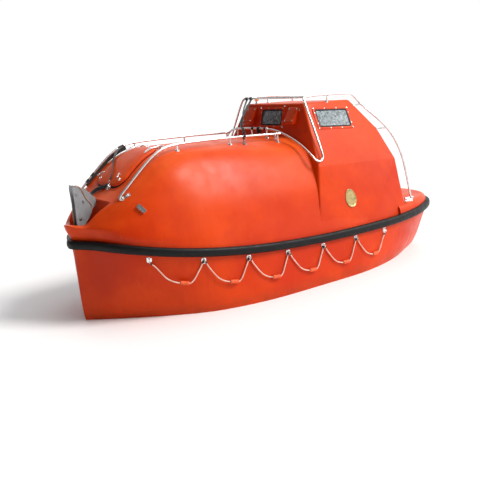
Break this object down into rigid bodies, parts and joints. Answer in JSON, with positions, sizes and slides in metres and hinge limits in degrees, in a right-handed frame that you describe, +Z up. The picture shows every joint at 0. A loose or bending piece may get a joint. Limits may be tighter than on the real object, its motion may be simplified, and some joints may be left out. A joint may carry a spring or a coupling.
{
  "type": "enclosed lifeboat",
  "caption": "Small totally enclosed lifeboat with a helm tower, lifting hooks fore and aft, handrails, rubber fender, looped lifelines, hatches, rudder and propeller.",
  "frame": {"origin": "on the waterline amidships, on the centreline", "axes": "+X towards the bow, +Y to port, +Z up"},
  "size_m": [5.017, 2.2418, 2.6365],
  "materials": {
    "gelcoat": "glossy orange gelcoat on glass fibre, faintly streaked",
    "fender_rubber": "black rubber, satin",
    "stainless": "polished stainless tube",
    "painted_steel": "grey paint, lightly worn",
    "bronze": "dull bronze",
    "window_glass": "blue-grey glazing",
    "rope": "pinkish white laid rope",
    "webbing": "black woven webbing",
    "float_foam": "orange foam, matt",
    "engine_iron": "grey engine paint",
    "liner": "off-white moulded liner",
    "cushion": "dark vinyl",
    "amber_lamp": "amber lens"
  },
  "bodies": {
    "boat": {"hull_shell": "gelcoat", "canopy_shell": "gelcoat", "fender": "fender_rubber", "skeg": "gelcoat", "window_front": "window_glass", "window_port": "window_glass", "window_starboard": "window_glass", "window_aft": "window_glass", "cowl_port": "gelcoat", "cowl_starboard": "gelcoat", "tower_rail_arch": "stainless", "tower_rail_port_front": "stainless", "tower_rail_port_roof": "stainless", "tower_rail_port_aft": "stainless", "tower_rail_starboard_front": "stainless", "tower_rail_starboard_roof": "stainless", "tower_rail_starboard_aft": "stainless", "handrail_port_fore": "stainless", "handrail_port_brow": "stainless", "handrail_port_mid": "stainless", "handrail_port_aft": "stainless", "handrail_starboard_fore": "stainless", "handrail_starboard_brow": "stainless", "handrail_starboard_mid": "stainless", "handrail_starboard_aft": "stainless", "bow_hook_frame": "painted_steel", "stern_hook_frame": "painted_steel", "lifeline_port": "rope", "lifeline_starboard": "rope", "sling_strap": "webbing", "roof_lamp": "amber_lamp", "side_cover": "bronze", "bow_fitting_port": "stainless", "bow_fitting_starboard": "stainless", "stern_cleat_port": "stainless", "stern_cleat_starboard": "stainless", "engine_block": "engine_iron", "helm_console": "liner", "helm_seat": "cushion", "bench_port": "liner", "bench_starboard": "liner", "float_port_1": "float_foam", "float_port_2": "float_foam", "float_port_3": "float_foam", "float_port_4": "float_foam", "float_port_5": "float_foam", "float_port_6": "float_foam", "float_starboard_1": "float_foam", "float_starboard_2": "float_foam", "float_starboard_3": "float_foam", "float_starboard_4": "float_foam", "float_starboard_5": "float_foam", "float_starboard_6": "float_foam"},
    "propeller": {"propeller": "bronze"},
    "rudder": {"rudder": "painted_steel"},
    "forward_hatch": {"forward_hatch": "gelcoat"},
    "aft_hatch": {"aft_hatch": "gelcoat"},
    "bow_hook": {"bow_hook": "painted_steel"},
    "stern_hook": {"stern_hook": "painted_steel"},
    "steering_wheel": {"steering_wheel": "cushion"}
  },
  "joints": [
    {"name": "propeller_spin", "type": "hinge", "parent": "boat", "child": "propeller", "pos_m": [-1.775, 0, -0.355], "axis": [1, 0, 0], "continuous": true},
    {"name": "steering_wheel_turn", "type": "hinge", "parent": "boat", "child": "steering_wheel", "pos_m": [-0.56, 0, 1.3], "axis": [0.9173, 0, -0.3982], "range_deg": [-280, 280]},
    {"name": "rudder_turn", "type": "hinge", "parent": "boat", "child": "rudder", "pos_m": [-2.07, 0, -0.32], "axis": [0, 0, 1], "range_deg": [-35, 35]},
    {"name": "forward_hatch_lift", "type": "hinge", "parent": "boat", "child": "forward_hatch", "pos_m": [1.378, 0, 1.706], "axis": [0, -1, 0], "range_deg": [0, 110]},
    {"name": "aft_hatch_swing", "type": "hinge", "parent": "boat", "child": "aft_hatch", "pos_m": [-1.57675, -0.282, 0.95863], "axis": [0.1397, 0, 0.9902], "range_deg": [0, 110]},
    {"name": "bow_hook_release", "type": "hinge", "parent": "boat", "child": "bow_hook", "pos_m": [2.285, 0, 1.255], "axis": [0, -1, 0], "range_deg": [0, 60]},
    {"name": "stern_hook_release", "type": "hinge", "parent": "boat", "child": "stern_hook", "pos_m": [-2.24, 0, 1.015], "axis": [0, 1, 0], "range_deg": [0, 60]}
  ],
  "couplings": [
    {"joint": "rudder_turn", "follows": "steering_wheel_turn", "ratio": 0.125}
  ]
}
